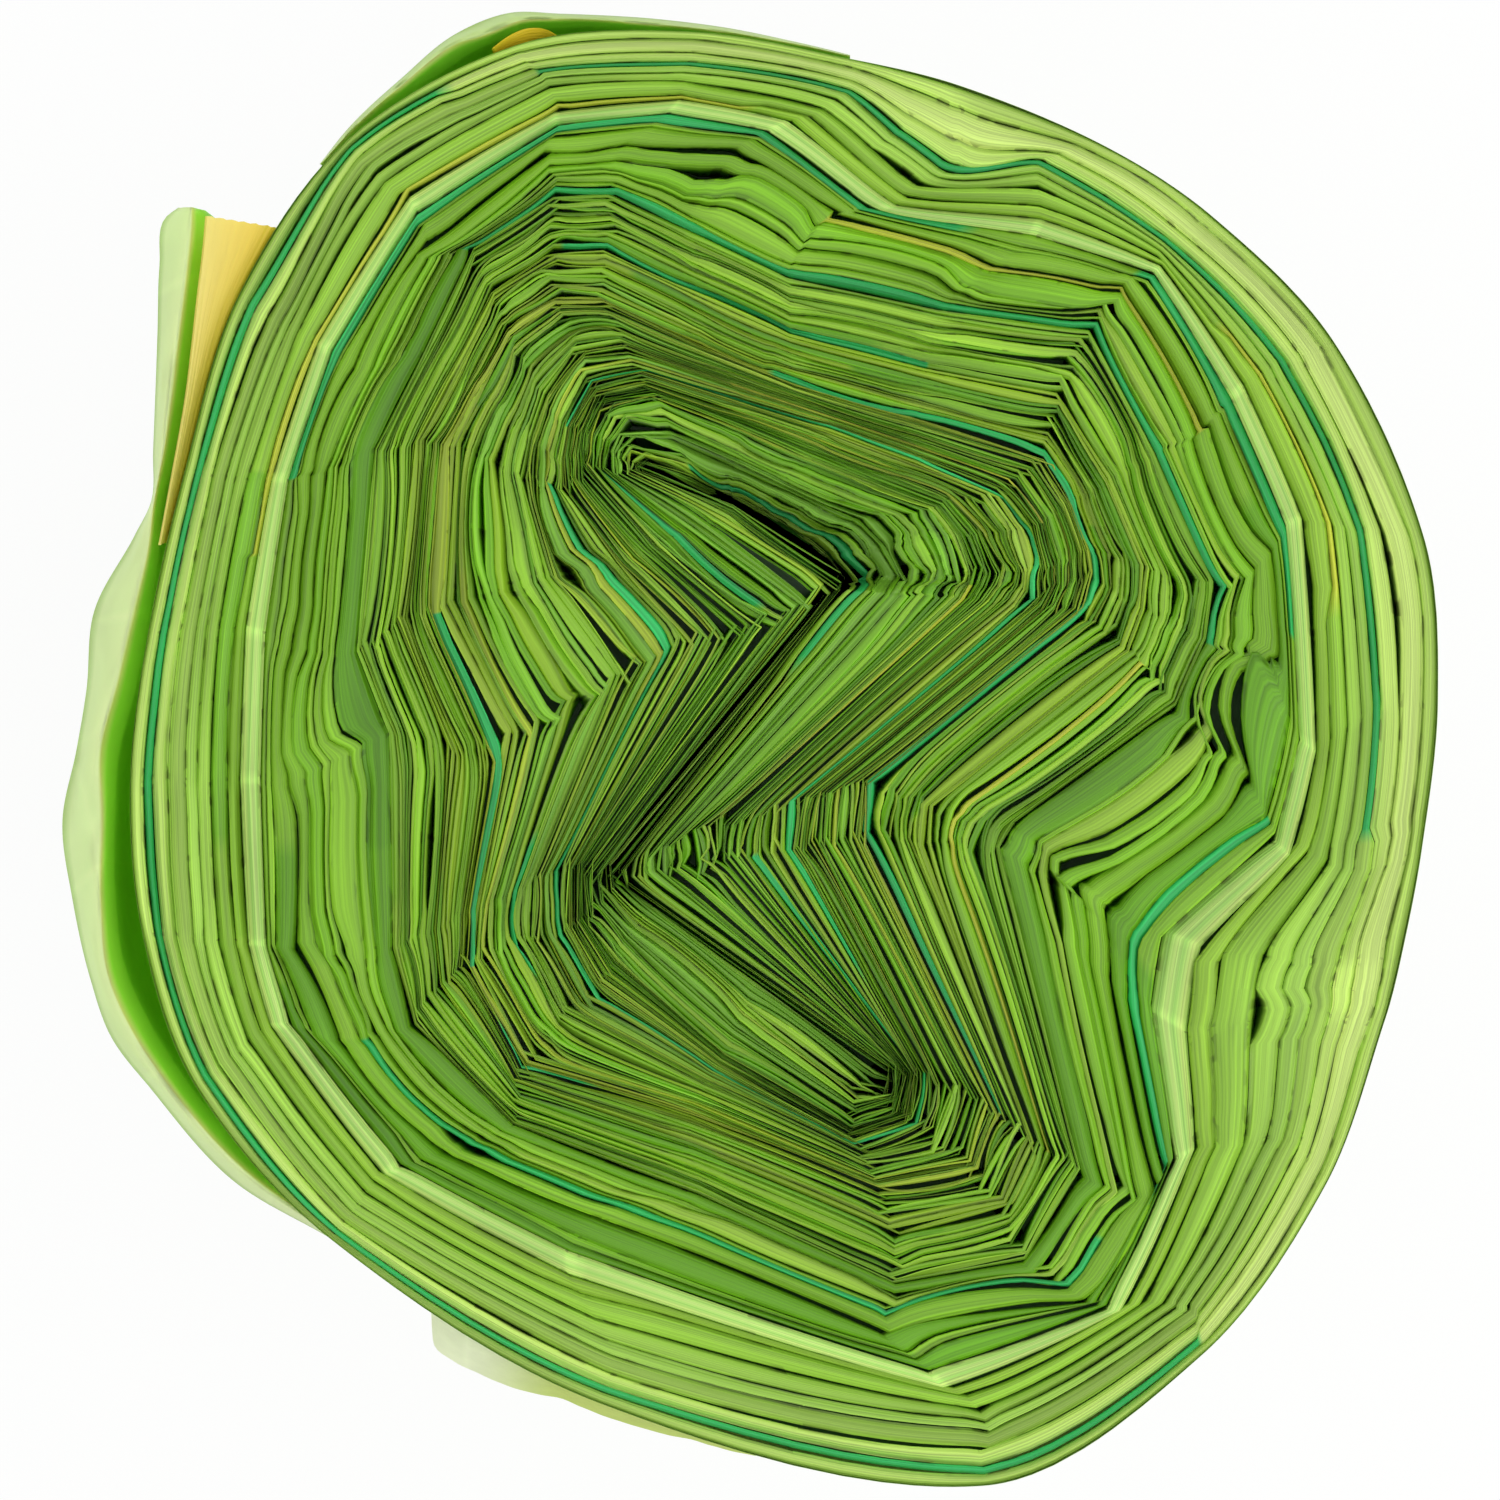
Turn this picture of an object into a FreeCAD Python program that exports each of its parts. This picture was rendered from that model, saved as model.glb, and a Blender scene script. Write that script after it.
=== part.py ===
import FreeCAD, Part
import math
import os

# A coreless roll of bin bags, standing on its end.
# Z is the roll's axis, X runs to the right of the end face and Y to its top.
# The origin is the middle of the overall outline, on the bottom end.

doc = FreeCAD.newDocument("BinBagRoll")

# Driving sizes, in millimetres apart from turn_count, which is a number
SIZES = [
    ("roll_width", 59.0, "wound body, left to right"),
    ("roll_depth", 65.6, "wound body, top to bottom of the end face"),
    ("roll_length", 150.0, "end to end: the width of the folded web"),
    ("turn_count", 28, "turns of the folded web"),
    ("turn_gap", 0.15, "air between one turn and the next"),
    ("web_thickness", 0.5, "folded web where it hangs loose"),
    ("tape_width", 22.0, "drawtape, along the roll"),
    ("tape_thickness", 0.2, "drawtape"),
    ("tape_seat", 0.3, "clearance of a drawtape from the turn that it lies on"),
    ("tape_flare", 0.9, "how far the torn drawtape end springs off that turn"),
]
sheet = doc.addObject("Spreadsheet::Sheet", "Sizes")
for row, (alias, value, meaning) in enumerate(SIZES, start=1):
    sheet.set("A%d" % row, alias)
    sheet.set("B%d" % row, str(value))
    sheet.set("C%d" % row, meaning)
    sheet.setAlias("B%d" % row, alias)
doc.recompute()

# The shape of the end face was read by eye from the photograph, in its pixels, y downwards.
# These extents turn it into real sizes: the wound body's width and depth are the sheet's.
BODY_PIXELS_WIDE = 1310
BODY_PIXELS_DEEP = 1456
MIDDLE_PIXEL = (748.3, 747.5)


def place(pixel):
    """The point of the end face, in millimetres, that lies at a pixel."""
    across = (pixel[0] - MIDDLE_PIXEL[0]) * sheet.roll_width / BODY_PIXELS_WIDE
    up = (MIDDLE_PIXEL[1] - pixel[1]) * sheet.roll_depth / BODY_PIXELS_DEEP
    return FreeCAD.Vector(across, up, 0)


# How the flattened turns lie. Each contour goes once round the roll, clockwise from the lower left,
# and has one point on each of the same 24 crease lines. The first hugs the collapsed core,
# the last is the rim, and the number is how far out of the winding it lies.
CONTOURS = [
    (0.00, [(640, 920), (609, 888), (607, 868), (836, 585), (730, 515), (636, 474),
            (634, 467), (636, 462), (642, 458), (690, 470), (730, 490), (760, 505),
            (785, 520), (805, 532), (825, 550), (845, 574), (843, 582), (838, 592),
            (626, 866), (628, 884), (893, 1070), (888, 1095), (860, 1095), (745, 1010)]),
    (0.09, [(618, 955), (588, 912), (588, 868), (765, 628), (662, 542), (592, 470),
            (593, 450), (596, 430), (606, 408), (655, 398), (740, 432), (800, 460),
            (860, 485), (920, 508), (945, 535), (962, 570), (955, 583), (945, 597),
            (700, 828), (698, 866), (903, 1068), (896, 1110), (850, 1126), (725, 1052)]),
    (0.22, [(598, 988), (566, 930), (568, 862), (683, 637), (612, 566), (560, 490),
            (558, 460), (564, 425), (590, 378), (640, 367), (745, 400), (830, 425),
            (920, 458), (1005, 492), (1030, 530), (1040, 572), (1040, 588), (1030, 606),
            (797, 803), (795, 845), (918, 1070), (912, 1118), (855, 1140), (715, 1066)]),
    (0.39, [(520, 1060), (466, 958), (470, 912), (497, 755), (430, 608), (445, 440),
            (475, 385), (505, 330), (550, 300), (605, 300), (700, 345), (790, 382),
            (915, 418), (1045, 457), (1072, 500), (1090, 548), (1092, 578), (1082, 612),
            (872, 780), (866, 835), (1000, 1112), (978, 1172), (880, 1188), (690, 1112)]),
    (0.57, [(515, 1130), (408, 1022), (388, 950), (383, 735), (352, 650), (370, 450),
            (420, 350), (469, 246), (554, 191), (612, 188), (690, 225), (790, 273),
            (940, 304), (1090, 322), (1160, 450), (1222, 590), (1212, 645), (1182, 710),
            (1020, 828), (1007, 852), (1085, 1172), (1035, 1260), (900, 1290), (700, 1200)]),
    (0.67, [(450, 1150), (345, 1040), (300, 950), (300, 780), (305, 650), (322, 470),
            (365, 370), (425, 255), (548, 155), (625, 145), (735, 152), (832, 214),
            (1000, 262), (1125, 288), (1205, 430), (1262, 560), (1272, 660), (1250, 775),
            (1095, 885), (1090, 910), (1150, 1200), (1080, 1300), (885, 1330), (600, 1215)]),
    (0.77, [(386, 1166), (277, 1019), (258, 945), (250, 780), (255, 628), (280, 480),
            (325, 345), (420, 200), (564, 118), (680, 106), (781, 128), (886, 210),
            (1040, 228), (1156, 267), (1238, 390), (1293, 520), (1306, 758), (1281, 848),
            (1175, 956), (1166, 1032), (1179, 1147), (1120, 1300), (950, 1380), (560, 1260)]),
    (0.89, [(352, 1212), (225, 1058), (187, 940), (178, 780), (190, 632), (222, 474),
            (275, 325), (366, 160), (533, 64), (690, 62), (854, 92), (955, 172),
            (1035, 160), (1165, 240), (1280, 360), (1362, 530), (1380, 700), (1362, 870),
            (1325, 965), (1315, 1010), (1292, 1140), (1190, 1310), (985, 1430), (620, 1360)]),
    (1.00, [(330, 1241), (179, 1097), (122, 933), (109, 787), (130, 636), (170, 469),
            (223, 290), (339, 134), (506, 18), (690, 22), (849, 49), (962, 66),
            (1116, 140), (1222, 211), (1344, 338), (1435, 540), (1447, 700), (1430, 848),
            (1409, 961), (1392, 1021), (1329, 1189), (1203, 1359), (985, 1489), (600, 1406)]),
]
CREASES = 24
FIRST_LOOSE_CREASE = 7   # between these two the outermost turn stands off the roll
LAST_LOOSE_CREASE = 9
ROUND_FROM = 0.55        # the turns are angular inside this share of the winding,
ROUND_FULL = 0.95        # and fully round from this share to the rim
FINE_FROM = 0.5          # outside this share each stretch between creases has a middle point
WIDEST_GAP_SHARE = 0.25  # the most of a turn's pitch that the air gap takes where it is squeezed
TAPE_STEPS = 6           # straight runs along a drawtape

# Outer edges of the loose outermost turn and of the loose end, in the same pixels
LOOSE_TURN = [(392, 82), (455, 31), (510, 11), (545, 11), (640, 19)]
LOOSE_END = [(232, 1182), (150, 1091), (108, 1036), (88, 980), (70, 900), (60, 820),
             (74, 750), (84, 690), (91, 612), (132, 535), (149, 490), (151, 450),
             (155, 330), (158, 265), (172, 207)]


def on_crease(share, crease):
    """Where a crease line meets the contour that lies this far out of the winding."""
    outer = 1
    while outer < len(CONTOURS) - 1 and CONTOURS[outer][0] < share:
        outer += 1
    near, near_points = CONTOURS[outer - 1]
    far, far_points = CONTOURS[outer]
    part_way = (share - near) / (far - near)
    start = place(near_points[crease % CREASES])
    end = place(far_points[crease % CREASES])
    return start + (end - start) * part_way


def on_turn(share, position):
    """A point of a contour. The position counts creases, with fractions between two of them."""
    crease = math.floor(position)
    way = position - crease
    here = on_crease(share, crease)
    if way == 0:
        return here
    before = on_crease(share, crease - 1)
    after = on_crease(share, crease + 1)
    beyond = on_crease(share, crease + 2)
    span = after - here
    leaving = (after - before) * (span.Length / (span.Length + (here - before).Length))
    arriving = (beyond - here) * (span.Length / (span.Length + (beyond - after).Length))
    straight = here + span * way
    bowed = (here * (2 * way**3 - 3 * way**2 + 1) + leaving * (way**3 - 2 * way**2 + way)
             + after * (3 * way**2 - 2 * way**3) + arriving * (way**3 - way**2))
    roundness = min(max((share - ROUND_FROM) / (ROUND_FULL - ROUND_FROM), 0), 1)
    return straight + (bowed - straight) * roundness


def turn_walls(turns, position):
    """The inner and outer edge of the wall that is this many turns from the core."""
    whole = sheet.turn_count + 1
    inside = on_turn(turns / whole, position)
    next_turn = on_turn((turns + 1) / whole, position)
    pitch = next_turn - inside
    gap = min(sheet.turn_gap, pitch.Length * WIDEST_GAP_SHARE)
    return inside, next_turn - pitch * (gap / pitch.Length)


def inwards(points, depth):
    """The same open line moved to its right-hand side, which on this roll faces the axis."""
    moved = []
    for index, point in enumerate(points):
        before = points[max(index - 1, 0)]
        after = points[min(index + 1, len(points) - 1)]
        along = (after - before).normalize()
        moved.append(point + FreeCAD.Vector(along.y, -along.x, 0) * depth)
    return moved


def wound_outline():
    """Closed outline of the wound web: out along its outer face, back along its inner face."""
    inner = []
    outer = []
    last_turn = sheet.turn_count - 1
    loose = [place(pixel) for pixel in LOOSE_TURN]
    loose_inner = inwards(loose, sheet.web_thickness)
    for turn in range(int(sheet.turn_count)):
        for crease in range(CREASES):
            loose_here = turn == last_turn and FIRST_LOOSE_CREASE < crease < LAST_LOOSE_CREASE
            if loose_here:
                outer.extend(loose)
                inner.extend(loose_inner)
                continue
            steps = [0, 0.5] if turn > sheet.turn_count * FINE_FROM else [0]
            if turn == last_turn and crease == FIRST_LOOSE_CREASE:
                steps = [0]
            for step in steps:
                position = crease + step
                inside, outside = turn_walls(turn + position / CREASES, position)
                inner.append(inside)
                outer.append(outside)
    inside, outside = turn_walls(sheet.turn_count, 0)
    free_end = [place(pixel) for pixel in LOOSE_END]
    outer.extend([outside] + free_end)
    inner.extend([inside] + inwards(free_end, sheet.web_thickness))
    return outer + inner[::-1]


def tape_outline(turns, span, flare):
    """Outline of a drawtape that lies on a turn's outer face from one position to another."""
    first, last = span
    ways = [step / TAPE_STEPS for step in range(TAPE_STEPS + 1)]
    positions = [first + (last - first) * way for way in ways]
    seat = [turn_walls(turns + position / CREASES, position)[1] for position in positions]
    near = []
    far = []
    for step, way in enumerate(ways):
        off = sheet.tape_seat + flare * way**2
        near.append(inwards(seat, -off)[step])
        far.append(inwards(seat, -off - sheet.tape_thickness)[step])
    return near + far[::-1]


def section(name, points):
    """A flat closed face, kept as the section that a sub-part is drawn out from."""
    feature = doc.addObject("Part::Feature", name)
    feature.Shape = Part.Face(Part.makePolygon(points + [points[0]]))
    return feature


def drawn_out(name, profile, length):
    """A sub-part: the section drawn out along the roll's axis by one of the sheet's lengths."""
    part = doc.addObject("Part::Extrusion", name)
    part.Label = name
    part.Base = profile
    part.DirMode = "Custom"
    part.Dir = FreeCAD.Vector(0, 0, 1)
    part.Solid = True
    part.setExpression("LengthFwd", "Sizes." + length)
    return part


def wound_bags():
    """The web with all its turns, its loose outermost turn and its loose end."""
    return drawn_out("wound_bags", section("web_section", wound_outline()), "roll_length")


def drawtape(name, turns, span, flare):
    """A drawtape, with its upper edge level with the roll's top end."""
    outline = tape_outline(turns, span, flare)
    tape = drawn_out(name, section(name + "_section", outline), "tape_width")
    tape.setExpression("Placement.Base.z", "Sizes.roll_length - Sizes.tape_width")
    return tape


# One drawtape lies on the last turn, under the loose end, and springs off it towards its torn end.
# The other lies flat on the turn before, under the loose outermost turn.
LAST_TURN = sheet.turn_count - 1
OUTER_TAPE_SPAN = (4.5, 6.45)
INNER_TAPE_SPAN = (7.84, 8.3)
parts = [
    wound_bags(),
    drawtape("outer_drawtape", LAST_TURN, OUTER_TAPE_SPAN, sheet.tape_flare),
    drawtape("inner_drawtape", LAST_TURN - 1, INNER_TAPE_SPAN, 0),
]
doc.recompute()

for thing in doc.Objects:
    if "Invalid" in thing.State or "Error" in thing.State:
        raise RuntimeError("%s did not recompute: %s" % (thing.Label, thing.State))
for part in parts:
    if part.Shape.isNull() or not part.Shape.isValid() or len(part.Shape.Solids) != 1:
        raise RuntimeError("%s is not one valid solid" % part.Label)

os.makedirs("parts", exist_ok=True)
for part in parts:
    part.Shape.exportStep(os.path.join("parts", part.Label + ".step"))
    box = part.Shape.BoundBox
    print("%s: x %.2f to %.2f, y %.2f to %.2f, z %.2f to %.2f, volume %.0f mm3" % (
        part.Label, box.XMin, box.XMax, box.YMin, box.YMax, box.ZMin, box.ZMax, part.Shape.Volume))
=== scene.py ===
import math

import bpy
import numpy as np
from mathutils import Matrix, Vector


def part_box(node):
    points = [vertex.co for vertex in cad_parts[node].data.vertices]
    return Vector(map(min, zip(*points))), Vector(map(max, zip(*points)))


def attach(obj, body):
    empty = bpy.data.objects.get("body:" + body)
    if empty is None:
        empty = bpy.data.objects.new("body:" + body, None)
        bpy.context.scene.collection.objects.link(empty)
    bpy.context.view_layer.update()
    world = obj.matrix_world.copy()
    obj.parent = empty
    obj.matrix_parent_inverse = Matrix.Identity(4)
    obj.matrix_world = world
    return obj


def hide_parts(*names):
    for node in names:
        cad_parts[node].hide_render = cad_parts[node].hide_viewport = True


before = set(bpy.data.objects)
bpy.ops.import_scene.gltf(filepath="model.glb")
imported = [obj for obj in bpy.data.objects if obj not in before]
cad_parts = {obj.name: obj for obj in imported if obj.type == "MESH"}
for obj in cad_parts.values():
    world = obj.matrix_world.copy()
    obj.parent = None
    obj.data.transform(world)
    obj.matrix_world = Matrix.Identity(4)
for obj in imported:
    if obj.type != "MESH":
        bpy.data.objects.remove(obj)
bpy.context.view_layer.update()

# Camera, light and floor.
# The photograph looks straight down the roll's axis at its upper end, on plain white, in soft
# light that comes mostly from the upper left.
PHOTO_PIXELS = 1500
MIDDLE_PIXEL = np.array([748.3, 747.5])      # where the roll's axis meets the photograph
OVERALL_PIXELS = np.array([1376.7, 1473.3])  # the roll with its loose end, across and up
CAMERA_DISTANCE = 0.60
SENSOR_MM = 36.0
CLIP_NEAR = 0.01
CLIP_FAR = 10.0

low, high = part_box("wound_bags")
PIXEL = (np.array(high)[:2] - np.array(low)[:2]) / OVERALL_PIXELS
TOP = high.z
BOTTOM = low.z


def place(pixels):
    """Metres in the roll's frame for pixels of the photograph, whose y runs downwards."""
    return (np.asarray(pixels, float) - MIDDLE_PIXEL) * PIXEL * (1, -1)


def add_object(name, data):
    """An object in the scene with this mesh, lamp or camera."""
    thing = bpy.data.objects.new(name, data)
    bpy.context.scene.collection.objects.link(thing)
    return thing


camera_data = bpy.data.cameras.new("camera")
camera_data.sensor_width = SENSOR_MM
camera_data.lens = SENSOR_MM * CAMERA_DISTANCE / (PHOTO_PIXELS * PIXEL[0])
camera_data.clip_start = CLIP_NEAR
camera_data.clip_end = CLIP_FAR
camera = add_object("camera", camera_data)
middle = place((PHOTO_PIXELS / 2, PHOTO_PIXELS / 2))
camera.location = (middle[0], middle[1], TOP + CAMERA_DISTANCE)
bpy.context.scene.camera = camera
bpy.context.scene.view_settings.view_transform = "Standard"


def add_node(tree, kind, links=None, **settings):
    """A shader node with its settings, and with its inputs joined or set by name or number."""
    node = tree.nodes.new("ShaderNode" + kind)
    for name, value in settings.items():
        setattr(node, name, value)
    for name, value in (links or {}).items():
        if isinstance(value, bpy.types.NodeSocket):
            tree.links.new(value, node.inputs[name])
        else:
            node.inputs[name].default_value = value
    return node


def new_material(name):
    """An empty node material, its tree and its output node."""
    material = bpy.data.materials.new(name)
    material.use_nodes = True
    tree = material.node_tree
    tree.nodes.clear()
    return material, tree, tree.nodes.new("ShaderNodeOutputMaterial")


def area_lamp(name, location, size, power):
    """A square soft box that faces the roll's upper end."""
    lamp = bpy.data.lights.new(name, "AREA")
    lamp.size = size
    lamp.energy = power
    holder = add_object(name, lamp)
    holder.location = location
    aim = np.array([0, 0, TOP]) - np.array(location)
    turn = math.atan2(aim[1], aim[0])
    tilt = math.atan2(math.hypot(aim[0], aim[1]), -aim[2])
    holder.rotation_euler = (0, -tilt, turn + math.pi)


# Lamps: place and width in metres, power in watts
area_lamp("key_lamp", location=(-0.45, 0.50, 0.75), size=0.30, power=10.5)
area_lamp("fill_lamp", location=(0.55, -0.15, 0.80), size=0.60, power=5.0)

ROOM_LIGHT = 1.05
world = bpy.data.worlds.new("studio")
bpy.context.scene.world = world
world.use_nodes = True
world.node_tree.nodes["Background"].inputs["Color"].default_value = (1, 1, 1, 1)
world.node_tree.nodes["Background"].inputs["Strength"].default_value = ROOM_LIGHT

HALF_FLOOR = 1.5
FLOOR_OUTLINE = ((-1, -1), (1, -1), (1, 1), (-1, 1))
PAPER_WHITE = 0.9
WHITENING = 0.90         # how far the eye sees plain white there; the rest keeps the soft shadow
floor_mesh = bpy.data.meshes.new("floor")
floor_corners = [(x * HALF_FLOOR, y * HALF_FLOOR, BOTTOM) for x, y in FLOOR_OUTLINE]
floor_mesh.from_pydata(floor_corners, [], [(0, 1, 2, 3)])
floor = add_object("floor", floor_mesh)
# White paper, which looks plain white to the eye and still takes the roll's shadow
material, tree, output = new_material("white_paper")
paper = add_node(tree, "BsdfDiffuse", {"Color": (PAPER_WHITE, PAPER_WHITE, PAPER_WHITE, 1)})
white = add_node(tree, "Emission", {"Color": (1, 1, 1, 1), "Strength": 1.0})
ray = add_node(tree, "LightPath")
seen = add_node(tree, "Math", {0: ray.outputs["Is Camera Ray"], 1: ray.outputs["Is Glossy Ray"]},
                operation="ADD")
seen = add_node(tree, "Math", {0: seen.outputs[0], 1: ray.outputs["Is Transmission Ray"]},
                operation="ADD")
seen = add_node(tree, "Math", {0: seen.outputs[0], 1: WHITENING}, operation="MULTIPLY")
mixed = add_node(tree, "MixShader", {0: seen.outputs[0], 1: paper.outputs[0], 2: white.outputs[0]})
tree.links.new(mixed.outputs[0], output.inputs["Surface"])
floor_mesh.materials.append(material)

# The winding of the web.
# One long strip of thin polyethylene film, folded lengthwise to eight plies and wound flat with
# no core, then pushed out of round, so that its turns are creased along the same lines from core
# to rim. Each contour goes once round the roll, clockwise from the lower left, with one point on
# each of the same 24 crease lines, in pixels of the photograph. The number is its share of the
# winding, from the edge of the core to the rim.
CONTOURS = [
    (-0.05, [(655, 907), (618, 881), (612, 876), (842, 578), (733, 504), (641, 467),
             (639, 465), (640, 464), (643, 463), (690, 485), (733, 503), (765, 525),
             (790, 543), (808, 555), (825, 567), (843, 577), (843, 580), (840, 583),
             (615, 874), (619, 880), (889, 1079), (886, 1083), (866, 1066), (752, 980)]),
    (0.00, [(640, 920), (609, 888), (607, 868), (836, 585), (730, 515), (636, 474),
            (634, 467), (636, 462), (642, 458), (690, 470), (730, 490), (760, 505),
            (785, 520), (805, 532), (825, 550), (845, 574), (843, 582), (838, 592),
            (626, 866), (628, 884), (893, 1070), (888, 1095), (860, 1095), (745, 1010)]),
    (0.09, [(618, 955), (588, 912), (588, 868), (765, 628), (662, 542), (592, 470),
            (593, 450), (596, 430), (606, 408), (655, 398), (740, 432), (800, 460),
            (860, 485), (920, 508), (945, 535), (962, 570), (955, 583), (945, 597),
            (700, 828), (698, 866), (903, 1068), (896, 1110), (850, 1126), (725, 1052)]),
    (0.22, [(598, 988), (566, 930), (568, 862), (683, 637), (612, 566), (560, 490),
            (558, 460), (564, 425), (590, 378), (640, 367), (745, 400), (830, 425),
            (920, 458), (1005, 492), (1030, 530), (1040, 572), (1040, 588), (1030, 606),
            (797, 803), (795, 845), (918, 1070), (912, 1118), (855, 1140), (715, 1066)]),
    (0.39, [(520, 1060), (466, 958), (470, 912), (497, 755), (430, 608), (445, 440),
            (475, 385), (505, 330), (550, 300), (605, 300), (700, 345), (790, 382),
            (915, 418), (1045, 457), (1072, 500), (1090, 548), (1092, 578), (1082, 612),
            (872, 780), (866, 835), (1000, 1112), (978, 1172), (880, 1188), (690, 1112)]),
    (0.57, [(515, 1130), (408, 1022), (388, 950), (383, 735), (352, 650), (370, 450),
            (420, 350), (469, 246), (554, 191), (612, 188), (690, 225), (790, 273),
            (940, 304), (1090, 322), (1160, 450), (1222, 590), (1212, 645), (1182, 710),
            (1020, 828), (1007, 852), (1085, 1172), (1035, 1260), (900, 1290), (700, 1200)]),
    (0.67, [(450, 1150), (345, 1040), (300, 950), (300, 780), (305, 650), (322, 470),
            (365, 370), (425, 255), (548, 155), (625, 145), (735, 152), (832, 214),
            (1000, 262), (1125, 288), (1205, 430), (1262, 560), (1272, 660), (1250, 775),
            (1095, 885), (1090, 910), (1150, 1200), (1080, 1300), (885, 1330), (600, 1215)]),
    (0.77, [(386, 1166), (277, 1019), (258, 945), (250, 780), (255, 628), (280, 480),
            (325, 345), (420, 200), (564, 118), (680, 106), (781, 128), (886, 210),
            (1040, 228), (1156, 267), (1238, 390), (1293, 520), (1306, 758), (1281, 848),
            (1175, 956), (1166, 1032), (1179, 1147), (1120, 1300), (950, 1380), (560, 1260)]),
    (0.89, [(352, 1212), (225, 1058), (187, 940), (178, 780), (190, 632), (222, 474),
            (275, 325), (366, 160), (533, 64), (690, 62), (854, 92), (955, 172),
            (1035, 160), (1165, 240), (1280, 360), (1362, 530), (1380, 700), (1362, 870),
            (1325, 965), (1315, 1010), (1292, 1140), (1190, 1310), (985, 1430), (620, 1360)]),
    (1.00, [(330, 1241), (179, 1097), (122, 933), (109, 787), (130, 636), (170, 469),
            (223, 290), (339, 134), (506, 18), (690, 22), (849, 49), (962, 66),
            (1116, 140), (1222, 211), (1344, 338), (1435, 540), (1447, 700), (1430, 848),
            (1409, 961), (1392, 1021), (1329, 1189), (1203, 1359), (985, 1489), (600, 1406)]),
]
CREASES = 24
SHARES = np.array([share for share, _ in CONTOURS])
POINTS = np.array([points for _, points in CONTOURS], float)
TURNS = 28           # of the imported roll, whose rim creeps out by one turn in its last round
LOOSE_CREASE = 8     # here the outermost turn stands off, and the rim is that of the turn before
CREEP_FROM = 0.8     # outside this share the contours close up on the creeping rim
ANGULAR_TO = 0.70    # up to this share the creases are sharp, and at the rim they are round
ROUND_FROM = 1.00


def ease(low_end, high_end, values):
    """0 below the low end, 1 above the high end, and a smooth step between them."""
    way = np.clip((np.asarray(values, float) - low_end) / (high_end - low_end), 0, 1)
    return way * way * (3 - 2 * way)


def crease_points(share):
    """The contour that lies this far out of the winding: one point, in pixels, on each crease."""
    crease = np.arange(CREASES)
    round_trip = np.where(crease == 0, CREASES, crease) / CREASES
    rim = (TURNS + round_trip - (crease == LOOSE_CREASE)) / (TURNS + 1)
    at_crease = share * (1 - (1 - rim) * ease(CREEP_FROM, 1.0, share))
    upper = np.clip(np.searchsorted(SHARES, at_crease, "right"), 1, len(SHARES) - 1)
    way = (at_crease - SHARES[upper - 1]) / (SHARES[upper] - SHARES[upper - 1])
    near = POINTS[upper - 1, crease]
    return near + (POINTS[upper, crease] - near) * way[:, None]


def lengths(rows):
    """The length of the vector in each row."""
    return np.linalg.norm(rows, axis=1, keepdims=True)


def bent_line(points, leaving, arriving, index, after, way):
    """Points of a smooth line from each indexed point to the one after it."""
    return (points[index] * (2 * way**3 - 3 * way**2 + 1) + leaving * (way**3 - 2 * way**2 + way)
            + points[after] * (3 * way**2 - 2 * way**3) + arriving * (way**3 - way**2))


def roundness_at(share):
    """0 where the creases are sharp and 1 at the rim."""
    return np.clip((share - ANGULAR_TO) / (ROUND_FROM - ANGULAR_TO), 0, 1)


def trace(corners, positions, share):
    """Points of a closed contour at positions counted in creases: angular near the core,
    rounded near the rim."""
    crease = np.floor(positions).astype(int) % CREASES
    way = (positions - np.floor(positions))[:, None]
    after = (crease + 1) % CREASES
    here = corners[crease]
    there = corners[after]
    before = corners[crease - 1]
    beyond = corners[(crease + 2) % CREASES]
    span = lengths(there - here)
    span_before = lengths(here - before)
    span_beyond = lengths(beyond - there)
    leaving = (there - before) * span / (span + span_before)
    arriving = (beyond - here) * span / (span + span_beyond)
    bowed = bent_line(corners, leaving, arriving, crease, after, way)
    straight = here + (there - here) * way
    return straight + (bowed - straight) * roundness_at(share)


# Film surfaces.
# Blown polyethylene is thin, slightly milky and has a soft gloss. Seen edge on, a stack of it
# shows fine lines along the film, with short slits where two plies stand a little apart, painted dark as
# painted shade.
FILM_ROUGHNESS = 0.42
FILM_IOR = 1.53
UNSCALED = 1.0           # the mapping before a texture holds its scale
ONE_FINER = 1.0          # noise with one finer octave over its first
LINE_HEIGHT = 0.0002
LINE_SHARPNESS = 0.4
LINE_DETAIL = 3.0
LINE_RANGE = (0.3, 0.7)
SLIT_SCALE = (150.0, 0.9, 1.0)
SLIT_RANGE = (0.545, 0.60)
# painted shade: how far the colour is darkened in a slit
SLIT_SHADE = -0.8
CRINKLE_SCALE = (120.0, 120.0, 15.0)   # facets in each metre round the roll, and up it
CRINKLE_BEND = 0.9       # how far the crinkles' facets are pulled out of shape
BEND_SCALE = 0.6
CRINKLE_EDGE = 0.03      # width of the painted highlight on a fold between two facets, as a share of a facet
CRINKLE_GLINT = 1.05


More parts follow.
